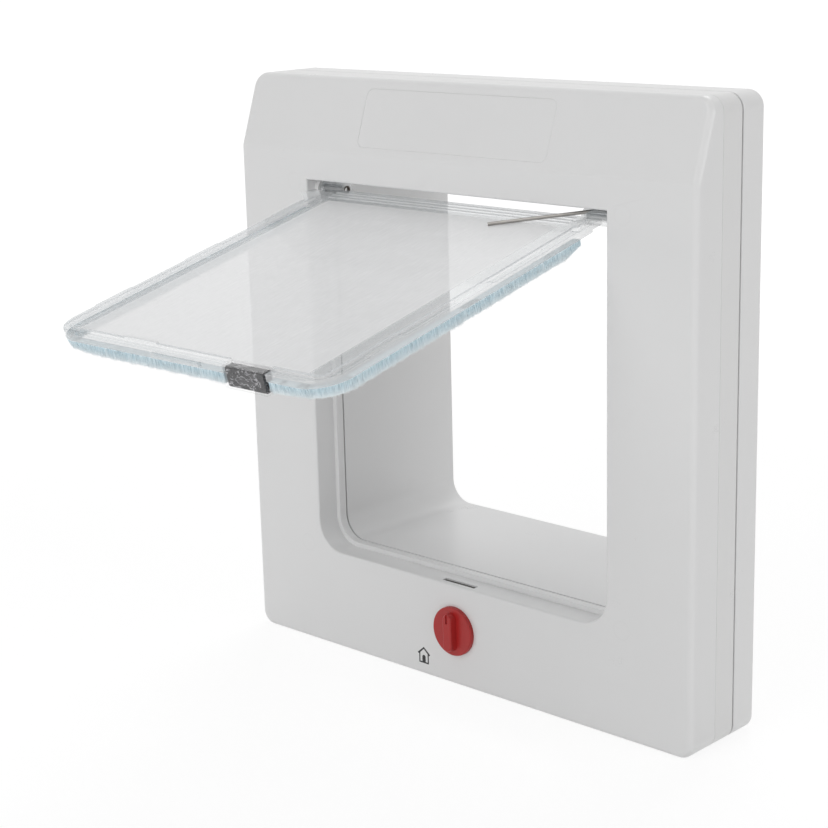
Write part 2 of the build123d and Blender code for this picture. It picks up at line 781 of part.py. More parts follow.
# Flap: clear panel with a raised rim line, clips, a ribbed hinge bar and two lugs
with BuildPart() as flap_panel:
    with BuildSketch(flap_plane.offset(panel_back)):
        add(flap_face(0, 0, 0, flap_corner))
        Rectangle(2 * lug_inner_x, 2 * hinge_edge_drop, mode=Mode.SUBTRACT)
    extrude(amount=panel_thickness)
    with BuildSketch(flap_plane.offset(panel_front)):
        add(flap_face(rim_side_inset, rim_free_inset, rim_start, rim_corner + rim_width))
        add(flap_face(rim_inner_side, rim_inner_free, rim_start, rim_corner), mode=Mode.SUBTRACT)
    extrude(amount=rim_height)
    with BuildSketch(flap_plane.offset(panel_back)):
        add(flap_face(0, 0, stop_start, flap_corner))
        add(flap_face(border_inner, border_inner, stop_start, border_inner_corner), mode=Mode.SUBTRACT)
    extrude(amount=-border_thickness)
    with BuildSketch(flap_plane.offset(pile_root)):
        add(flap_face(channel_outer, channel_outer, brush_start, channel_corner))
        add(flap_face(border_inner, border_inner, brush_start, border_inner_corner), mode=Mode.SUBTRACT)
    extrude(amount=-channel_height)
    for side in (-1, 1):
        pad_x = side * (flap_half_width - rim_side_inset / 2)
        for clip_place in clip_places:
            with BuildSketch(flap_plane.offset(panel_front)):
                with Locations((pad_x, -clip_place)):
                    RectangleRounded(rim_side_inset, clip_length, clip_corner)
            extrude(amount=clip_height)
        with BuildSketch(flap_side_plane.offset(side * (flap_half_width - brush_inner))):
            with BuildLine():
                Polyline(
                    (stop_start, panel_back),
                    (brush_start, panel_back),
                    (brush_start, pile_root - brush_end_height),
                    (stop_start, pile_root - stop_start_height),
                    close=True,
                )
            make_face()
        extrude(amount=side * (brush_thickness - stop_rib_height))
        with BuildSketch(flap_side_plane.offset(side * (flap_half_width - brush_inner))):
            for rib_place in stop_rib_places:
                with Locations((rib_place, pile_root)):
                    Rectangle(stop_rib_width, stop_start_height, align=(Align.CENTER, Align.MAX))
        extrude(amount=side * brush_thickness)
    with BuildSketch(flap_plane.offset(panel_front)):
        with Locations((inner_clip_centre, rim_inner_free - flap_length)):
            Rectangle(inner_clip_length, inner_clip_width, align=(Align.CENTER, Align.MIN))
    extrude(amount=inner_clip_height)
    with BuildSketch(flap_plane.offset(panel_back)):
        with Locations((free_clip_centre, -flap_length - free_clip_reach)):
            Rectangle(free_clip_length, free_clip_depth, align=(Align.CENTER, Align.MIN))
    extrude(amount=panel_thickness)
    with BuildSketch(flap_plane.offset(panel_front)):
        for rib_place in hinge_rib_places:
            with Locations((0, -rib_place)):
                Rectangle(2 * lug_inner_x, hinge_rib_width)
    extrude(amount=hinge_rib_height)
    with BuildSketch(flap_side_plane):
        with Locations((hinge_edge_drop, 0)):
            Circle(hinge_bar_radius)
    extrude(amount=lug_inner_x, both=True)
    for side in (-1, 1):
        with BuildSketch(Plane.YZ.offset(side * lug_inner_x)):
            with Locations((hinge_y, hinge_z)):
                Circle(lug_radius)
        extrude(amount=side * lug_length)
        with BuildSketch(Plane.YZ.offset(side * lug_inner_x)):
            with Locations((hinge_y, hinge_z)):
                Circle(bush_radius)
        extrude(amount=side * lug_length, mode=Mode.SUBTRACT)
    with BuildSketch(flap_plane):
        with Locations((magnet_centre, cup_wall - magnet_inner)):
            Rectangle(2 * cup_half_width, 2 * magnet_depth, align=(Align.CENTER, Align.MAX))
    extrude(amount=magnet_height, both=True, mode=Mode.SUBTRACT)
    add(spring_wire(wire_radius + wire_seat_gap), mode=Mode.SUBTRACT)
pieces["flap_panel"] = flap_panel

# Pile strips on both sides of the magnet
for side, name in ((-1, "left"), (1, "right")):
    with BuildPart() as brush:
        with BuildSketch(flap_plane.offset(pile_root)):
            add(flap_face(brush_inset, brush_inset, brush_start, brush_corner))
            add(flap_face(brush_inner, brush_inner, brush_start, brush_inner_corner), mode=Mode.SUBTRACT)
            with Locations((magnet_centre + side * (cup_half_width + slip_gap), 0)):
                Rectangle(
                    2 * passage_width,
                    2 * flap_length,
                    align=(Align.MAX if side > 0 else Align.MIN, Align.CENTER),
                    mode=Mode.SUBTRACT,
                )
        extrude(amount=-brush_height)
        with BuildSketch(flap_side_plane):
            with BuildLine():
                Polyline(
                    (brush_start, pile_root - brush_end_height),
                    (brush_start, pile_root - brush_height),
                    (brush_start + brush_bevel, pile_root - brush_height),
                    close=True,
                )
            make_face()
        extrude(amount=passage_width, both=True, mode=Mode.SUBTRACT)
    pieces[f"brush_{name}"] = brush

# Closing magnet and the clear cup that clips it to the free edge
with BuildPart() as flap_magnet:
    with BuildSketch(flap_plane.offset(magnet_front)):
        with Locations((magnet_centre, -magnet_inner)):
            Rectangle(magnet_width, magnet_depth, align=(Align.CENTER, Align.MAX))
    extrude(amount=-magnet_height)
pieces["flap_magnet"] = flap_magnet

with BuildPart() as magnet_clip:
    with BuildSketch(flap_plane.offset(magnet_front + cup_wall)):
        with Locations((magnet_centre, cup_wall - magnet_inner)):
            Rectangle(2 * cup_half_width, magnet_depth + 2 * cup_wall, align=(Align.CENTER, Align.MAX))
    extrude(amount=-(magnet_height + cup_wall))
    fillet(magnet_clip.faces().sort_by(flap_axis)[-1].edges(), cup_edge_radius)
    with BuildSketch(flap_plane.offset(magnet_front)):
        with Locations((magnet_centre, -magnet_inner)):
            Rectangle(magnet_width, magnet_depth, align=(Align.CENTER, Align.MAX))
    extrude(amount=-magnet_height, mode=Mode.SUBTRACT)
pieces["magnet_clip"] = magnet_clip

# Return spring
with BuildPart() as flap_spring:
    add(spring_wire(wire_radius))
pieces["flap_spring"] = flap_spring

os.makedirs("parts", exist_ok=True)
for label, piece in pieces.items():
    piece.part.label = label
    export_step(piece.part, f"parts/{label}.step")
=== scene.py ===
# %% [markdown]
# # A flap for a door, in white and clear plastic
# The object is a shallow white housing that is screwed to the room side of a door, with a clear
# flap hung in its opening, a tunnel through the door and a second frame on the far side.
# The CAD solids already have their true shapes and places, so this lesson starts from them: it
# loads the imported frame, keeps its box, which sets the level of the floor, and then adds finishes,
# pile, print and light. Lengths are in metres, as in the frame; where millimetres read better, mm
# turns them into metres.

# %% Load the frame
import json
import math
import random

import bmesh
import bpy
from mathutils import Matrix, Vector, noise


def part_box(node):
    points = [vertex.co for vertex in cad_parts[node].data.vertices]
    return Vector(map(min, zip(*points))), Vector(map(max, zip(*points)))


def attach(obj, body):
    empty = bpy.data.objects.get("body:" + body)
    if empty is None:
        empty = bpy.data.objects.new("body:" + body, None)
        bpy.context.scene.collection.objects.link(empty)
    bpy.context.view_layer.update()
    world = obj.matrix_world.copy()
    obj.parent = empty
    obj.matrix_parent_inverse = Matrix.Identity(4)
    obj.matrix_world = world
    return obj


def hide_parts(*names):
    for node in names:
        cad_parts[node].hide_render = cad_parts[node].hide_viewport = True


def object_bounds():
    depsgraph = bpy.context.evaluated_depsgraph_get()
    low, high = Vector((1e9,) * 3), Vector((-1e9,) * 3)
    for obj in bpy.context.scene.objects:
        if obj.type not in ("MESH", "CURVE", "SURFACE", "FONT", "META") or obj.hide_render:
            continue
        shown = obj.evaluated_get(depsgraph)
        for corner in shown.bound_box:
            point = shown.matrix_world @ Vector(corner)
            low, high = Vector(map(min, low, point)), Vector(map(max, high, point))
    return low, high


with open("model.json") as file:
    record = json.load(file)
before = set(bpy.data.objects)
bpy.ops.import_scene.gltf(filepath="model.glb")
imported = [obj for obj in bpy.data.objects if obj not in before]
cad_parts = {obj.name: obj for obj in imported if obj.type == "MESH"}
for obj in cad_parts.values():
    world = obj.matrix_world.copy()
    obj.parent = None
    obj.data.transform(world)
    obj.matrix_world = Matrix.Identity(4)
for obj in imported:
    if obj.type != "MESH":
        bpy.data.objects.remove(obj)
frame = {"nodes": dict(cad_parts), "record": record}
nodes = frame["nodes"]
cad_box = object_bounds()
mm = 0.001

# %% [markdown]
# ## Camera
# The view is from the room, to the right of the object and a little above it, with a longish lens.
# A camera can be aimed with a constraint, but then the slight tilt of the picture is lost.
# Here its three axes are worked out from azimuth, elevation and roll, and go straight into its
# matrix.

# %% Place the camera
azimuth = math.radians(43.54)
elevation = math.radians(14.46)
roll = math.radians(-1.47)
eye = Vector((0.4853, -0.5569, 0.1783))
backward = Vector((
    math.sin(azimuth) * math.cos(elevation),
    -math.cos(azimuth) * math.cos(elevation),
    math.sin(elevation),
))
level_right = (-backward).cross(Vector((0, 0, 1))).normalized()
level_up = level_right.cross(-backward)
right = math.cos(roll) * level_right + math.sin(roll) * level_up
up = math.cos(roll) * level_up - math.sin(roll) * level_right
axes = Matrix((right, up, backward)).transposed()
lens = bpy.data.cameras.new("camera")
lens.sensor_width = 36.0
lens.lens = 84.31
camera = bpy.data.objects.new("camera", lens)
camera.matrix_world = Matrix.Translation(eye) @ axes.to_4x4()
bpy.context.collection.objects.link(camera)
bpy.context.scene.camera = camera
bpy.context.scene.view_settings.view_transform = "Standard"
print(f"camera {eye.length:.2f} m from the middle of the passage")

# %% [markdown]
# ## Writing shaders as maths
# A finish is a node tree, and long trees are hard to read when every link is typed out.
# A small class that stands for one socket lets us write sums and products in plain Python, and one
# method adds every other kind of node: its type, what goes into its sockets, and its settings.

# %% Values and node trees
class Value:
    """One output of a node tree; arithmetic on it adds Math nodes."""

    def __init__(self, tree, socket):
        self.tree = tree
        self.socket = socket

    def maths(self, operation, *terms):
        step = self.tree.nodes.new("ShaderNodeMath")
        step.operation = operation
        for slot, term in zip(step.inputs, terms):
            join(self.tree, slot, term)
        return Value(self.tree, step.outputs[0])

    def __add__(self, other):
        return self.maths("ADD", self, other)

    def __radd__(self, other):
        return self.maths("ADD", other, self)

    def __sub__(self, other):
        return self.maths("SUBTRACT", self, other)

    def __rsub__(self, other):
        return self.maths("SUBTRACT", other, self)

    def __mul__(self, other):
        return self.maths("MULTIPLY", self, other)

    def __rmul__(self, other):
        return self.maths("MULTIPLY", other, self)

    def __truediv__(self, other):
        return self.maths("DIVIDE", self, other)

    def __pow__(self, other):
        return self.maths("POWER", self, other)

    def size(self):
        return self.maths("ABSOLUTE", self)

    def most(self, other):
        return self.maths("MAXIMUM", self, other)


def join(tree, slot, term):
    """Link a value to a socket, or set the socket's own number or colour."""
    if isinstance(term, Value):
        tree.links.new(term.socket, slot)
    else:
        slot.default_value = term


class Nodes:
    """A node tree that adds nodes by type, sockets and settings."""

    def __init__(self, tree):
        self.tree = tree

    def node(self, kind, sockets, output=0, **settings):
        made = self.tree.nodes.new("ShaderNode" + kind)
        for name, setting in settings.items():
            setattr(made, name, setting)
        for name, term in sockets.items():
            join(self.tree, made.inputs[name], term)
        return Value(self.tree, made.outputs[output])


class Finish(Nodes):
    """A material with a principled shader; constants go on the shader's own sockets."""

    def __init__(self, name, constants):
        self.material = bpy.data.materials.new(name)
        self.material.use_nodes = True
        super().__init__(self.material.node_tree)
        self.shader = self.tree.nodes["Principled BSDF"]
        self.body = Value(self.tree, self.shader.outputs[0])
        for socket, constant in constants.items():
            self.feed(socket, constant)
        self.place = self.node("TexCoord", {}, output="Object")

    def feed(self, socket, value):
        """Send a value into a socket of the principled shader."""
        join(self.tree, self.shader.inputs[socket], value)

    def show(self, surface):
        """Make another shader the one that is seen."""
        join(self.tree, self.tree.nodes["Material Output"].inputs["Surface"], surface)

    def layered(self, share, below, above):
        """One shader over another, covering a share of it."""
        return self.node("MixShader", {0: share, 1: below, 2: above})

    def noise(self, scale, detail=2.0, roughness=0.5, place=None):
        sockets = {"Scale": scale, "Detail": detail, "Roughness": roughness}
        return self.node("TexNoise", {"Vector": place or self.place, **sockets})

    def stretched(self, x, y, z):
        """Object coordinates, stretched along each axis for noise with a grain."""
        return self.node("VectorMath", {0: self.place, 1: (x, y, z)}, operation="MULTIPLY")

    def dot(self, vector, direction):
        sockets = {0: vector, 1: tuple(direction)}
        return self.node("VectorMath", sockets, output="Value", operation="DOT_PRODUCT")

    def soft_step(self, value, low, high):
        """0 at low and 1 at high, with a smooth change between."""
        sockets = {"Value": value, "From Min": low, "From Max": high}
        return self.node("MapRange", sockets, interpolation_type="SMOOTHSTEP")

    def blend(self, factor, first, second):
        """Colour between two colours."""
        return self.node("Mix", {0: factor, 6: first, 7: second}, output=2, data_type="RGBA")

    def ramp(self, factor, stops):
        """Colour along a ramp, from pairs of place and colour."""
        colours = self.node("ValToRGB", {"Fac": factor})
        elements = colours.socket.node.color_ramp.elements
        while len(elements) < len(stops):
            elements.new(1.0)
        for element, (place, colour) in zip(elements, stops):
            element.position = place
            element.color = colour
        return colours

    def bump(self, height, depth):
        """Raise the surface, with depth in metres; returns the normal, for shaders on top."""
        normal = self.node("Bump", {"Height": height, "Distance": depth})
        self.feed("Normal", normal)
        return normal


def rgb(red, green, blue):
    """Opaque colour in linear light."""
    return (red, green, blue, 1.0)


def grey(level):
    return rgb(level, level, level)


def dress(finish, *names):
    """Give CAD nodes a finish through their own material slots."""
    for name in names:
        solid = nodes[name]
        if not solid.material_slots:
            solid.data.materials.append(finish.material)
        for slot in solid.material_slots:
            slot.material = finish.material
    print(finish.material.name, "on", ", ".join(names))


print("shader helpers ready")

# %% [markdown]
# ## White housing
# The covers, the tunnel and the outer frame are injection moulded in white ABS: satin, with a fine
# spark-eroded texture and very slight waves where the plastic flowed round the opening.
# Each of these could be a finish of its own, but the recipe is the same and only the shade differs:
# the rear half of the housing is given a touch darker white. So one function makes them all.

# %% White plastic
relief_depth = 0.00006


def white_plastic(name, dark, light):
    """Start a white finish; returns it with its shade and its relief, for marks to be added."""
    finish = Finish(name, {"IOR": 1.5})
    wave = finish.noise(14.0)
    grain = finish.noise(2600.0)
    handling = finish.noise(42.0, 4.0, 0.6)
    finish.feed("Roughness", 0.23 + 0.09 * handling + 0.04 * grain)
    return finish, finish.blend(wave, dark, light), 0.35 * grain + 0.6 * wave


rear_white, rear_shade, rear_relief = white_plastic(
    "white_plastic_rear", rgb(0.752, 0.751, 0.748), rgb(0.778, 0.777, 0.775)
)
rear_white.feed("Base Color", rear_shade)
rear_white.bump(rear_relief, relief_depth)
dress(rear_white, "back_cover")

# %% [markdown]
# Two marks of the moulding show on the front: a shallow sink ring over each screw boss, and a weld
# line that runs from an upper corner of the passage, where two streams of plastic met.
# They are a few hundredths of a millimetre deep, too shallow to model, so they go into the bump,
# with a trace of grey in the colour that is painted shade for their shallow hollows. Both are drawn
# with distances in object coordinates, in metres.

# %% Marks on the front
edge_end, front_start = -0.0240, -0.0257
boss_x, boss_z, ring_radius, ring_width = 0.082, 0.076, 0.0035, 0.0007
weld_start, weld_run, weld_width = (0.077, 0.0786), (0.0188, 0.0053), 0.0005
weld_length, weld_clear, weld_faint = math.hypot(*weld_run), 0.003, 0.01
ring_share, weld_share = 0.12, 0.18

white, front_shade, front_relief = white_plastic("white_plastic", grey(0.772), grey(0.80))
x_place, y_place, z_place = (
    white.node("SeparateXYZ", {"Vector": white.place}, output=axis) for axis in "XYZ"
)
on_front = white.soft_step(y_place, edge_end, front_start)
from_boss = ((x_place.size() - boss_x) ** 2.0 + (z_place.size() - boss_z) ** 2.0) ** 0.5
sink_mark = 1 - white.soft_step((from_boss - ring_radius).size(), 0.0, ring_width)
from_x, from_z = x_place - weld_start[0], z_place - weld_start[1]
weld_along = (from_x * weld_run[0] + from_z * weld_run[1]) / weld_length
weld_off = (from_x * weld_run[1] - from_z * weld_run[0]) / weld_length
weld_line = (
    (1 - white.soft_step(weld_off.size(), 0.0, weld_width))
    * white.soft_step(weld_along, 0.0, weld_clear)
    * white.soft_step(weld_along, weld_length, weld_faint)
)
marks_and_painted_shade = on_front * (ring_share * sink_mark + weld_share * weld_line)
# The grey in the marks is painted shade, for the shallow hollows of ring and weld line.
white.feed("Base Color", white.blend(marks_and_painted_shade, front_shade, grey(0.70)))
white.bump(front_relief - marks_and_painted_shade, relief_depth)
dress(white, "front_cover", "tunnel", "rear_frame", "battery_cover")

# %% [markdown]
# The bush in the right-hand lug is the same white, but moulded so thin that light comes through it.
# Subsurface light would do, though on a piece this small a partly clear finish gives the same pale
# glow. Its white is a little paler than the housing's: painted light that lifts it in the shade of
# the lug.

# %% Thin white bush
milky, milky_painted_light, milky_relief = white_plastic("white_plastic_thin", grey(0.80), grey(0.84))
milky.feed("Alpha", 0.6)
# A paler copy of the housing's white, painted light for a bush that sits in shade.
milky.feed("Base Color", milky_painted_light)
milky.bump(milky_relief, relief_depth)
dress(milky, "hinge_bush_right")

# %% [markdown]
# ## Places on the flap
# At rest the flap stands open towards the room, so nothing on it is square to the world.
# Three vectors describe it: across, along from the hinge to the free edge, and facing the room
# side. Pieces can then be laid out flat, in millimetres of the flap itself, and sent to their place
# in one go.

# %% Flap axes
joints = frame["record"]["behaviour"]["joints"]
hinge = next(Vector(joint["pos_m"]) for joint in joints if joint["name"] == "flap_hinge")
open_angle = math.radians(76.3)
along = Vector((0, -math.sin(open_angle), -math.cos(open_angle)))
facing = Vector((0, -math.cos(open_angle), math.sin(open_angle)))


def on_flap(across, down, out):
    """Point given in millimetres across, down from the hinge and out towards the room side."""
    return hinge + Vector((across, 0, 0)) * mm + along * (down * mm) + facing * (out * mm)


def flap_distance(finish, direction):
    """Distance of a shaded point from the hinge, in metres along one of the flap's directions."""
    sockets = {0: finish.place, 1: tuple(hinge)}
    from_hinge = finish.node("VectorMath", sockets, operation="SUBTRACT")
    return finish.dot(from_hinge, direction)


print("hinge at", [round(value, 4) for value in hinge])

# %% [markdown]
# ## Clear flap
# The flap is moulded in clear polycarbonate, a millimetre thick. A transmitting shader would bend
# light in every rib and clip, but inside walls this thin it bounces so often that the edges turn
# black, and the flap throws the shadow of a solid board. So the plastic is a thin haze that lamps
# shine through, under a gloss that grows towards grazing angles, as it does on any clear sheet:
# that draws its pale edges.
# The narrow faces get a paler colour than the broad ones, a painted highlight that stands in for the
# light a clear edge carries; a dot product with the flap's facing picks them out. The haze lies on
# the room side, where the flap is wiped, and fine stretched noise in it, in roughness and in bump is
# the marks of years of cleaning.
# The cup of the magnet is the same plastic, newer and clearer, so one function makes both.

# %% Clear plastic
painted_edge_light = rgb(0.88, 0.89, 0.90)
scratch_depth = 0.000012
haze_start, haze_full = 0.0001, 0.0006


def clear_plastic(name, dull, bright, haze, edge_haze, head_on):
    """Start a clear finish; returns it with its glossed shader and its wear."""
    finish = Finish(name, {"IOR": 1.5})
    flow = finish.noise(30.0)
    hairline = finish.noise(1.0, 3.0, 0.6, finish.stretched(2600.0, 160.0, 160.0))
    rubbed = finish.noise(55.0, 4.0, 0.6)
    wear = rubbed * hairline
    relief = finish.bump(0.5 * hairline + 0.5 * flow, scratch_depth)
    broad = finish.dot(finish.node("TexCoord", {}, output="Normal"), facing).size()
    rubbed_side = finish.soft_step(flap_distance(finish, facing), haze_start, haze_full)
    broad_haze = haze * (0.8 + 0.8 * wear) * (0.2 + 0.8 * rubbed_side)
    # Narrow faces take the pale edge colour, a painted highlight for the light that clear edges
    # carry.
    finish.feed("Base Color", finish.blend(broad, painted_edge_light, finish.blend(flow, dull, bright)))
    finish.feed("Roughness", 0.2 + 0.2 * wear)
    finish.feed("Alpha", broad * broad_haze + (1 - broad) * edge_haze)
    mirror = {"Base Color": grey(1.0), "Metallic": 1.0, "Roughness": 0.03 + 0.06 * wear}
    gloss = finish.node("BsdfPrincipled", {"Normal": relief, **mirror})
    grazing = finish.node("LayerWeight", {"Blend": 0.5, "Normal": relief}, output="Facing")
    gloss_share = head_on + (1 - head_on) * grazing ** 5.0
    glossed = finish.layered(gloss_share, finish.body, gloss)
    finish.show(glossed)
    return finish, glossed, wear


clear, clear_body, worn = clear_plastic(
    "clear_plastic", rgb(0.36, 0.41, 0.44), rgb(0.42, 0.47, 0.50),
    haze=0.32, edge_haze=0.34, head_on=0.04,
)
clear_cup, _, _ = clear_plastic(
    "clear_cup", rgb(0.76, 0.76, 0.78), rgb(0.84, 0.84, 0.85),
    haze=0.03, edge_haze=0.03, head_on=0.02,
)
dress(clear, "flap_panel")
dress(clear_cup, "magnet_clip")

# %% [markdown]
# Inside its rim the room side of the panel has gone milky: that face is rubbed and wiped, while the
# edges, clips and lugs stayed bright. A veil like that is neither glass nor paint, so a Mix Shader
# lays a thin pale coat over the clear plastic. Its factor is a mask along the flap's own
# directions, and the wear from the last cell breaks it up.

# %% Veil on the panel
rim_side, rim_top, rim_free = (0.0585, 0.0570), (0.0130, 0.0137), (0.1409, 0.1402)
veil_start, veil_full = 0.0003, 0.0007
veil_share, veil_wear = 0.57, 0.30
veil = clear.node("BsdfPrincipled", {"Base Color": rgb(0.88, 0.88, 0.885), "Roughness": 0.5})
down_flap = flap_distance(clear, along)
veil_mask = (
    clear.soft_step(flap_distance(clear, (1, 0, 0)).size(), *rim_side)
    * clear.soft_step(down_flap, *rim_top)
    * clear.soft_step(down_flap, *rim_free)
    * clear.soft_step(flap_distance(clear, facing), veil_start, veil_full)
)
clear.show(clear.layered(veil_mask * (veil_share + veil_wear * worn), clear_body, veil))
print("veil of about", veil_share, "inside the rim")

# %% [markdown]
# ## Small parts in black, brown and red plastic
# The battery tray, the chip and the latch pawl are black nylon, matte with a fine grain; the left
# hinge bush is dark brown, and the lock knob on the sill is a satin red moulding.
# All are the same recipe with different numbers, so one function makes them.

# %% Black, brown and red mouldings
def moulding(name, dark, light, roughness, grain_depth):
    """Coloured plastic with a slow change of tone and a fine grain."""
    finish = Finish(name, {"IOR": 1.5})
    grain = finish.noise(1900.0)
    tone = finish.noise(90.0, 3.0)
    finish.feed("Base Color", finish.blend(tone, dark, light))
    finish.feed("Roughness", roughness + 0.12 * tone + 0.08 * grain)
    finish.bump(grain, grain_depth)
    return finish


black = moulding(
    "black_plastic", rgb(0.018, 0.017, 0.016), rgb(0.04, 0.036, 0.033),
    roughness=0.42, grain_depth=0.00005,
)
red = moulding(
    "red_plastic", rgb(0.36, 0.012, 0.012), rgb(0.43, 0.018, 0.016),
    roughness=0.28, grain_depth=0.00002,
)
brown = moulding(
    "brown_plastic", rgb(0.030, 0.021, 0.017), rgb(0.060, 0.044, 0.036),
    roughness=0.38, grain_depth=0.00004,
)
dress(black, "battery_tray", "reader_chip", "latch_pawl", "lock_cam")
dress(brown, "hinge_bush_left")
dress(red, "lock_knob")

# %% [markdown]
# ## Metal
# The spring wire is plain drawn steel, dulled by the air; pins, screws and contacts are brightly
# plated. All are too thin to show a pattern from a step away, so roughness does the work: long
# stretched noise for the die lines, and a slow change of tone for handling. One function makes
# both.

# %% Steel
def drawn_steel(name, dull, bright):
    """Steel with fine lines from the die."""
    finish = Finish(name, {"Metallic": 1.0})
    die_lines = finish.noise(1.0, 2.0, 0.6, finish.stretched(180.0, 3200.0, 3200.0))
    tarnish = finish.noise(160.0, 3.0)
    finish.feed("Base Color", finish.blend(tarnish, dull, bright))
    finish.feed("Roughness", 0.22 + 0.2 * die_lines)
    finish.bump(die_lines, 0.000015)
    return finish


wire = drawn_steel("steel_wire", rgb(0.27, 0.255, 0.24), rgb(0.42, 0.405, 0.385))
plated = drawn_steel("steel_plated", rgb(0.74, 0.73, 0.72), rgb(0.84, 0.83, 0.82))
dress(wire, "flap_spring")
dress(
    plated, "hinge_pin_left", "hinge_pin_right", "cover_screws", "board_screws",
    "battery_contacts", "latch_plunger",
)

# %% [markdown]
# ## Ferrite
# The closing magnet and its partner under the sill are bars of sintered ferrite, nearly black. Its
# pale streaks and bright specks are painted reflections, standing in for the glints of light on the
# magnet in its clear cup. Stretched noise through a ramp gives the dark patches, the painted streaks
# lie where that noise passes one level, and a Voronoi pattern, cut off low, leaves the middles of
# its cells as painted glints.

# %% Ferrite
streak_level, streak_width = 0.55, 0.03
glint_core, glint_edge = 0.10, 0.24
ferrite = Finish("magnet", {"IOR": 1.6, "Specular IOR Level": 0.2})
mottle = ferrite.noise(1.0, 3.0, 0.6, ferrite.stretched(260.0, 420.0, 420.0))
glint_cells = ferrite.node("TexVoronoi", {"Vector": ferrite.place, "Scale": 900.0})
painted_glint = 1 - ferrite.soft_step(glint_cells, glint_core, glint_edge)
painted_streak = 1 - ferrite.soft_step((mottle - streak_level).size(), 0.0, streak_width)
patches = ferrite.ramp(mottle, (
    (0.40, rgb(0.005, 0.005, 0.007)),
    (0.58, rgb(0.016, 0.015, 0.019)),
    (0.74, rgb(0.07, 0.068, 0.074)),
))
# The pale streaks and specks are painted reflections, standing in for glints on the magnet.
painted_light_marks = painted_streak.most(painted_glint * 0.8)
ferrite.feed("Base Color", ferrite.blend(painted_light_marks, patches, rgb(0.62, 0.61, 0.64)))
ferrite.feed("Roughness", 0.5 - 0.2 * painted_glint)
ferrite.bump(mottle, 0.00015)
dress(ferrite, "sill_magnet")

# %% [markdown]
# ## Foam in the seam
# A thin ring of closed-cell foam keeps draughts out between the two frames; only its edge shows, as
# the dark line of the seam. Its dark grey is partly the foam's own and partly painted shade, for the
# shadow in the gap between the frames. Voronoi cells make the skin of little bubbles.

# %% Foam
foam = Finish("foam", {"IOR": 1.4})
bubbles = foam.node("TexVoronoi", {"Vector": foam.place, "Scale": 1500.0})
# Dark grey, partly the foam's colour and partly painted shade for the shadow of the seam.
foam.feed("Base Color", foam.blend(bubbles, rgb(0.07, 0.067, 0.064), rgb(0.15, 0.146, 0.142)))
foam.feed("Roughness", 0.8 + 0.15 * bubbles)
foam.bump(bubbles, 0.0002)
dress(foam, "door_seal")

# %% [markdown]
# ## Parts inside the housing
# Nobody sees these until a cover comes off: plain sleeved cells, the green board, the copper
# winding of the reader coil and the coated frame of the solenoid. Each still gets its own finish,
# with the detail that tells it apart: bands on the cells, tracks on the board, turns on the coil.

# %% Cells, board, coil and solenoid
sleeve = Finish("cell_can", {"Metallic": 0.6})
scuff = sleeve.noise(300.0, 3.0)
around = sleeve.node("TexWave", {"Vector": sleeve.place, "Scale": 22.0}, bands_direction="X")
band = sleeve.soft_step(around, 0.4, 0.45)
sleeve.feed("Base Color", sleeve.blend(band, rgb(0.06, 0.06, 0.065), rgb(0.5, 0.5, 0.52)))
sleeve.feed("Roughness", 0.25 + 0.2 * scuff)
dress(sleeve, "cell_1", "cell_2", "cell_3", "cell_4")

board = Finish("board", {"IOR": 1.55})
weave = board.noise(900.0)
upright = board.node(
    "VectorRotate", {"Vector": board.place, "Angle": math.pi / 2}, rotation_type="X_AXIS"
)
tracks = board.node("TexBrick", {
    "Vector": upright, "Scale": 260.0, "Mortar Size": 0.03,
    "Color1": rgb(0.012, 0.12, 0.05), "Color2": rgb(0.014, 0.14, 0.06),
    "Mortar": rgb(0.03, 0.24, 0.10),
})
board.feed("Base Color", tracks)
board.feed("Roughness", 0.3 + 0.15 * weave)
board.bump(weave, 0.00003)
dress(board, "circuit_board")

copper = Finish("copper", {"Metallic": 1.0})
winding = {"Vector": copper.place, "Scale": 500.0, "Distortion": 0.4}
turns = copper.node("TexWave", winding, bands_direction="Y")
copper.feed("Base Color", copper.blend(turns, rgb(0.32, 0.12, 0.05), rgb(0.62, 0.28, 0.13)))
copper.feed("Roughness", 0.25 + 0.2 * turns)
copper.bump(turns, 0.0002)
dress(copper, "antenna_coil")

coated = Finish("solenoid", {"Metallic": 0.5})
coat_grain = coated.noise(1400.0, 3.0)
coated.feed("Base Color", coated.blend(coat_grain, rgb(0.18, 0.18, 0.19), rgb(0.3, 0.3, 0.31)))
coated.feed("Roughness", 0.4 + 0.2 * coat_grain)
coated.bump(coat_grain, 0.00004)
dress(coated, "latch_solenoid")

# %% [markdown]
# ## Adding pieces
# Whatever is not a CAD solid, from the magnet's bar to the floor, is a mesh with one finish.
# The modelling operators would do, but they depend on what is selected. Plain lists of points and
# faces don't, so two short functions turn those into pieces.

# %% Meshes and pieces
def mesh_of(name, points, faces):
    """Mesh from a list of points and a list of faces."""
    mesh = bpy.data.meshes.new(name)
    mesh.from_pydata(points, [], faces)
    return mesh


def piece(name, mesh, finish):
    """Put a mesh into the scene as an object with a finish."""
    made = bpy.data.objects.new(name, mesh)
    bpy.context.collection.objects.link(made)
    mesh.materials.append(finish.material)
    return made


print("piece helpers ready")

# %% [markdown]
# ## Closing magnet
# The bar sits in a clear cup on the free edge of the flap. Clear plastic that touches it face to
# face would look as if it were cast in, so this bar keeps a hair's breadth away from the cup.
# A cube, bevelled and divided, gives its broken edges, and a little noise on each point gives the
# uneven faces of pressed powder. It is laid out flat and then sent to its place on the flap.

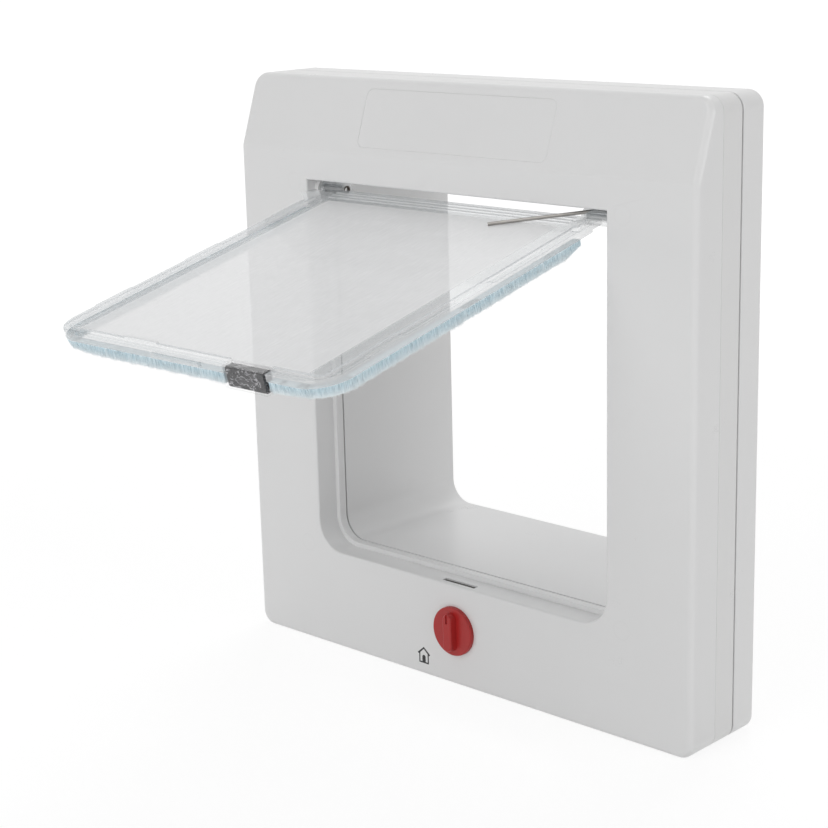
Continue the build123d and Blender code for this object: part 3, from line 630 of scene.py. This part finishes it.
# %% Magnet bar
bar_centre, bar_size = Vector((32.9, 143.2, -2.9)), Vector((18.8, 4.0, 7.4))
bar_gap, bar_edge, bar_cuts, bar_roughness, bar_grain = 0.12, 0.35, 5, 0.05, 1.3
bar = bmesh.new()
bmesh.ops.create_cube(bar, size=1.0)
for point in bar.verts:
    sides = zip(point.co, bar_size)
    point.co = Vector([place * (length - 2 * bar_gap) for place, length in sides])
bmesh.ops.bevel(bar, geom=bar.edges[:], offset=bar_edge, segments=2, affect="EDGES")
bmesh.ops.subdivide_edges(bar, edges=bar.edges[:], cuts=bar_cuts, use_grid_fill=True)
for point in bar.verts:
    worn_off = bar_roughness * (1 + noise.noise(point.co * bar_grain))
    point.co -= point.co.normalized() * worn_off
    point.co = on_flap(*(bar_centre + point.co))
bmesh.ops.recalc_face_normals(bar, faces=bar.faces[:])
bar_mesh = bpy.data.meshes.new("magnet_bar")
bar.to_mesh(bar_mesh)
bar.free()
magnet_bar = piece("magnet_bar", bar_mesh, ferrite)
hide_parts("flap_magnet")
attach(magnet_bar, "flap")
print("magnet bar with", len(bar_mesh.polygons), "faces")

# %% [markdown]
# ## Pile strips
# A strip of dense pale blue pile runs under the border of the flap, down each side, round the
# corner and along the free edge up to the magnet: it keeps the draught out.
# Hair particles would do it, but they don't survive export and can't be counted, so each tuft is a
# thin three-sided spike in one mesh, set in rows as on a woven tape, over a low core that closes
# the gaps.
# First comes the middle line of a strip, in millimetres of the flap: even steps, each with a
# sideways vector and the pull of the bend, which draws the tips in where the tape goes round the
# corner.

# %% Middle line of a strip
side_line, strip_start, corner_start, corner_radius = 67.7, 16.0, 132.0, 11.2
left_end, right_end, row_step = 22.4, 43.4, 0.25
pile_height, end_height, bevel_length = 5.0, 2.7, 8.0
bend_pull, pull_length = 1.5, 7.0


def strip_line(side, last_across, step):
    """Stations (across, down, sideways vector, pull) from a strip's upper end to last_across."""
    corner_across = side_line - corner_radius
    straight = corner_start - strip_start
    bend = corner_radius * math.pi / 2
    total = straight + bend + abs(last_across - side * corner_across)
    free_edge = corner_start + corner_radius
    stations = []
    for index in range(int(total / step) + 1):
        travel = min(index * step, total)
        past = travel - straight - bend
        if travel < straight:
            stations.append((side * side_line, strip_start + travel, (side, 0.0), 0.0))
        elif past < 0:
            turn = (travel - straight) / corner_radius
            sideways = (side * math.cos(turn), math.sin(turn))
            across = side * corner_across + corner_radius * sideways[0]
            down = corner_start + corner_radius * sideways[1]
            stations.append((across, down, sideways, bend_pull * math.sin(turn)))
        else:
            pull = bend_pull * math.exp(-past / pull_length)
            stations.append((side * (corner_across - past), free_edge, (0.0, 1.0), pull))
    return stations


def height_at(down):
    """Height of the pile, which is bevelled at the upper end."""
    slope = (pile_height - end_height) / bevel_length
    return min(pile_height, end_height + (down - strip_start) * slope)


print(len(strip_line(-1, left_end, row_step)), "rows on the left strip")

# %% [markdown]
# The yarn is dyed a pale blue that fades towards the worn tips. It is deepest low in the pile,
# partly from the dye and partly as painted shade, where the tufts shade one another. The woven back
# is paler still, painted light that lifts it in the shade under the border of the flap. The distance
# out from the flap tells these apart, and two noises add the unevenness of dye and yarn.

# %% Pile finish
fade_start, fade_end = -0.0025, -0.0068
back_start, back_full = -0.0024, -0.0019
pile = Finish("pile", {"IOR": 1.45, "Sheen Weight": 0.2, "Sheen Roughness": 0.5})
yarn = pile.noise(900.0, 3.0, 0.6)
dye = pile.noise(70.0)
deep = pile.blend(dye, rgb(0.73, 0.89, 0.96), rgb(0.82, 0.93, 0.975))
tips = pile.blend(yarn, rgb(0.87, 0.925, 0.945), rgb(0.93, 0.96, 0.97))
root_shade_to_tip = pile.soft_step(flap_distance(pile, facing), fade_start, fade_end)
woven_back_painted_light = pile.soft_step(flap_distance(pile, facing), back_start, back_full)
# Deeper colour low in the pile is partly painted shade; the pale back is painted light.
pile.feed("Base Color", pile.blend(woven_back_painted_light, pile.blend(root_shade_to_tip, deep, tips), rgb(0.86, 0.96, 1.0)))
pile.feed("Roughness", 0.75 + 0.2 * yarn)
print("pile dyed")

# %% [markdown]
# The core is a swept bar, a little narrower and lower than the pile. The tufts lean outwards at the
# edges of the tape and gather in ribs, one for each pick of the weave; ribs and tips differ in
# height, which gives the strip its soft, uneven lower line. A fixed seed keeps every run the same.

# %% Grow the pile
pile_root, half_thickness = -1.8, 1.6
core_width, core_share, core_step = 1.3, 0.8, 2.0
lanes, tuft_radius, lane_jitter, row_jitter = 21, 0.12, 0.06, 0.06
rib_pitch, rib_limit, rib_spread, rib_gather = 1.0, 400, 0.22, 0.35
shortest, tallest, splay, tip_spread = 0.88, 0.98, 0.06, 0.12


def pile_core(side, last_across):
    """Points and faces of the closed bar that the tufts stand on."""
    points, faces = [], []
    stations = strip_line(side, last_across, core_step)
    for across, down, (side_x, side_s), pull in stations:
        height = core_share * height_at(down)
        lean = -pull * core_share
        section = (
            (-core_width, 0), (core_width, 0),
            (core_width + lean, height), (lean - core_width, height),
        )
        for reach, depth in section:
            place = (across + reach * side_x, down + reach * side_s)
            points.append(on_flap(*place, pile_root - depth))
    for ring in range(len(stations) - 1):
        for corner in range(4):
            first, second = ring * 4 + corner, ring * 4 + (corner + 1) % 4
            faces.append((first, second, second + 4, first + 4))
    faces.append((0, 1, 2, 3))
    faces.append(tuple(len(points) - 4 + corner for corner in (3, 2, 1, 0)))
    return points, faces


def pile_strip(name, side, last_across, seed):
    """Grow one strip as a single mesh, in place of its solid bar."""
    chance = random.Random(seed)
    points, faces = pile_core(side, last_across)
    middle = (lanes - 1) / 2
    rises = [chance.gauss(0, rib_spread) for _ in range(rib_limit)]
    stations = strip_line(side, last_across, row_step)
    for row, (across, down, (side_x, side_s), pull) in enumerate(stations):
        ribs_passed = row * row_step / rib_pitch
        from_rib = ribs_passed % 1.0 - 0.5
        rise = rises[int(ribs_passed)]
        full = height_at(down)
        for lane in range(lanes):
            offset = (lane - middle) / middle * (half_thickness - tuft_radius)
            offset += chance.uniform(-lane_jitter, lane_jitter)
            slip = chance.gauss(0, row_jitter)
            root_x = across + offset * side_x - slip * side_s
            root_s = down + offset * side_s + slip * side_x
            height = min(full, full * chance.uniform(shortest, tallest) + rise)
            lean = offset * splay + chance.gauss(0, tip_spread) - pull
            drift = chance.gauss(0, tip_spread) - rib_gather * from_rib * rib_pitch
            tip_x = root_x + lean * side_x - drift * side_s
            tip_s = root_s + lean * side_s + drift * side_x
            start = len(points)
            spin = chance.uniform(0, math.tau)
            for third in range(3):
                turn = spin + third * math.tau / 3
                foot_x = root_x + tuft_radius * math.cos(turn)
                foot_s = root_s + tuft_radius * math.sin(turn)
                points.append(on_flap(foot_x, foot_s, pile_root))
                faces.append((start + third, start + (third + 1) % 3, start + 3))
            points.append(on_flap(tip_x, tip_s, pile_root - height))
    strip = piece(name, mesh_of(name, points, faces), pile)
    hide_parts(name.replace("pile", "brush"))
    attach(strip, "flap")
    print(name, len(faces), "faces")


pile_strip("pile_left", -1, left_end, seed=11)
pile_strip("pile_right", 1, right_end, seed=23)

# %% [markdown]
# ## Joint of the lid
# The lid of the battery bay lies flush in the slanted face, in a joint hardly wider than a hair. A
# strip of the cover's white fills the joint, just under the surface, as painted light over the
# joint's shadow, so that it shows as a faint line and not as a dark one. A line in the cover's
# colour would be wrong from the side; the strip gives the same shade at every angle. It is one
# rounded rectangle swept by a small section, all in millimetres of the slant.

# %% Strip in the joint
slant_rise, slant_setback = 28.5, 9.8
slant_run = math.hypot(slant_rise, slant_setback)
lid_half_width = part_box("battery_cover")[1][0] / mm
lid_half_length, lid_middle, lid_corner, corner_steps = 11.5, -0.531, 3.0, 8
joint_inner, joint_outer, joint_top, joint_floor = 0.01, 0.11, -0.09, -0.6
cover_low, cover_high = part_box("front_cover")
slant_middle = Vector((
    0, cover_low[1] + slant_setback * mm / 2, cover_high[2] - slant_rise * mm / 2
))
up_slant = Vector((0, slant_setback, slant_rise)) / slant_run
off_slant = Vector((0, -slant_rise, slant_setback)) / slant_run


def lid_outline(grow, out):
    """Rounded outline of the lid, grown all round, at a height off the slanted face."""
    points = []
    for corner, (side, end) in enumerate(((1, 1), (-1, 1), (-1, -1), (1, -1))):
        middle_x = side * (lid_half_width - lid_corner)
        middle_u = lid_middle + end * (lid_half_length - lid_corner)
        for step in range(corner_steps + 1):
            turn = (corner + step / corner_steps) * math.pi / 2
            across = middle_x + (lid_corner + grow) * math.cos(turn)
            up_face = middle_u + (lid_corner + grow) * math.sin(turn)
            place = slant_middle + Vector((across, 0, 0)) * mm + up_slant * (up_face * mm)
            points.append(place + off_slant * (out * mm))
    return points


loops = [
    lid_outline(joint_inner, joint_top), lid_outline(joint_outer, joint_top),
    lid_outline(joint_outer, joint_floor), lid_outline(joint_inner, joint_floor),
]
count = len(loops[0])
joint_faces = []
for loop in range(4):
    this, following = loop * count, (loop + 1) % 4 * count
    for first in range(count):
        second = (first + 1) % count
        joint_faces.append((this + first, following + first, following + second, this + second))
joint_points = [point for loop in loops for point in loop]
# The strip is painted light: the cover's white laid over the shadow in the joint.
lid_joint = piece("lid_joint", mesh_of("lid_joint", joint_points, joint_faces), white)
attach(lid_joint, "unit")
print("joint strip round a lid of", round(2 * lid_half_width, 1), "mm")

# %% [markdown]
# ## Printed sign
# Low on the sill, left of the knob, a small black house with a doorway is pad printed on the cover.
# Ink could be part of the cover's finish, but a mask that fine would need a dense bake.
# A skin of ink two hundredths of a millimetre thick is sharper, and simple: the house is one patch
# with a hole, and the doorway a second one inside it.

# %% House sign
front_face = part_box("front_cover")[0][1]
ink_height = 0.00002


def ink(points, faces, outline, hole=()):
    """Add a printed patch as a thin solid, from outlines in millimetres.

    A hole has as many corners as the outline, so that quads can join the two.
    """
    start = len(points)
    count = len(outline)
    loop = [*outline, *hole]
    for depth in (front_face - ink_height, front_face):
        points.extend(Vector((x * mm, depth, z * mm)) for x, z in loop)
    if not hole:
        faces.append(tuple(range(start, start + count)))
    for corner in range(count):
        first, second = start + corner, start + (corner + 1) % count
        if hole:
            faces.append((first, second, second + count, first + count))
        faces.append((first, first + len(loop), second + len(loop), second))


house = [
    (-20.5, -109.7), (-17.1, -106.9), (-13.7, -109.7), (-14.2, -110.2), (-14.5, -109.95),
    (-14.5, -113.8), (-19.7, -113.8), (-19.7, -109.95), (-20.0, -110.2),
]
room = [
    (-19.1, -109.55), (-17.1, -107.75), (-15.1, -109.55), (-15.1, -109.7), (-15.1, -110.0),
    (-15.1, -113.2), (-19.1, -113.2), (-19.1, -110.0), (-19.1, -109.7),
]
door_x, door_spring, door_sill, door_radius, arch_steps = -17.1, -111.2, -113.2, 0.9, 8
doorway = [(door_x - door_radius, door_sill)]
for step in range(arch_steps + 1):
    turn = step * math.pi / arch_steps
    arch_z = door_spring + door_radius * math.sin(turn)
    doorway.append((door_x - door_radius * math.cos(turn), arch_z))
doorway.append((door_x + door_radius, door_sill))
sign_points, sign_faces = [], []
ink(sign_points, sign_faces, house, room)
ink(sign_points, sign_faces, doorway)
print_ink = moulding(
    "print_ink", rgb(0.012, 0.012, 0.013), rgb(0.022, 0.022, 0.024),
    roughness=0.45, grain_depth=0.000005,
)
house_sign = piece("house_sign", mesh_of("house_sign", sign_points, sign_faces), print_ink)
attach(house_sign, "unit")
print("sign with", len(sign_faces), "faces at", round(front_face, 4))

# %% [markdown]
# ## Floor and background
# The picture has a plain white ground. The floor is a large pale sheet; for camera, glossy and
# transmitted rays it is partly self-lit so that it reads as white paper, and wholly so far away,
# where the lamps no longer reach. Near the object the rest is ordinary paint, which keeps the soft
# shadow there.

# %% Floor
floor_level, floor_half = cad_box[0][2], 30.0
glow_strength, near_glow, glow_near, glow_far = 1.08, 0.8, 0.35, 1.0


def seen_directly(tree):
    """1 for camera, glossy and transmitted rays, which should find a white background."""
    camera_ray, glossy_ray, passing_ray = (
        tree.node("LightPath", {}, output=f"Is {kind} Ray")
        for kind in ("Camera", "Glossy", "Transmission")
    )
    return camera_ray.most(glossy_ray).most(passing_ray)


paper = Finish("floor_paper", {"Roughness": 0.9})
paper.feed("Base Color", paper.blend(paper.noise(30.0, 3.0), grey(0.86), grey(0.90)))
glow = paper.node("Emission", {"Color": grey(1.0), "Strength": glow_strength})
from_object = paper.node("VectorMath", {0: paper.place}, output="Value", operation="LENGTH")
far_away = paper.soft_step(from_object, glow_near, glow_far)
glow_share = near_glow + (1 - near_glow) * far_away
paper.show(paper.layered(glow_share * seen_directly(paper), paper.body, glow))
corners = ((-1, -1), (1, -1), (1, 1), (-1, 1))
floor_points = [(x * floor_half, y * floor_half, floor_level) for x, y in corners]
floor = piece("floor", mesh_of("floor", floor_points, [(0, 1, 2, 3)]), paper)
print("floor at", round(floor_level, 4))

# %% [markdown]
# ## Light
# The object was lit for a catalogue: bright and nearly without shadow, a little stronger from
# above. An even sky gives that base. One wide lamp stands in front, a second one higher on the
# left, a third lifts the side, and a fourth behind the object lights its upper edges. All point at
# the middle of the passage.
# Lamps this wide leave no hard line anywhere. The first is kept out of reflections, where it would
# draw a light band down every rounded edge.

# %% Sky and lamps
sky_light = 0.4
world = bpy.data.worlds.new("studio")
world.use_nodes = True
bpy.context.scene.world = world
sky = Nodes(world.node_tree)
background = sky.tree.nodes["Background"]
join(sky.tree, background.inputs["Color"], grey(1.0))
join(sky.tree, background.inputs["Strength"], sky_light + (1 - sky_light) * seen_directly(sky))


def lamp(name, place, size, power, mirrored=True):
    """Round area lamp that points at the origin; mirrored says if reflections show it."""
    light = bpy.data.lights.new(name, "AREA")
    light.shape = "DISK"
    light.size = size
    light.energy = power
    holder = bpy.data.objects.new(name, light)
    holder.location = place
    holder.rotation_euler = (-Vector(place)).to_track_quat("-Z", "Y").to_euler()
    holder.visible_glossy = mirrored
    bpy.context.collection.objects.link(holder)
    print(name, power, "W")


lamp("front", (0.25, -1.8, 0.3), size=1.0, power=7.15, mirrored=False)
lamp("front_top", (-0.3, -1.3, 1.3), size=1.2, power=4.55)
lamp("right", (1.8, 0.3, 0.5), size=1.0, power=6.8)
lamp("top_back", (-0.4, 0.9, 1.7), size=1.0, power=10.1)
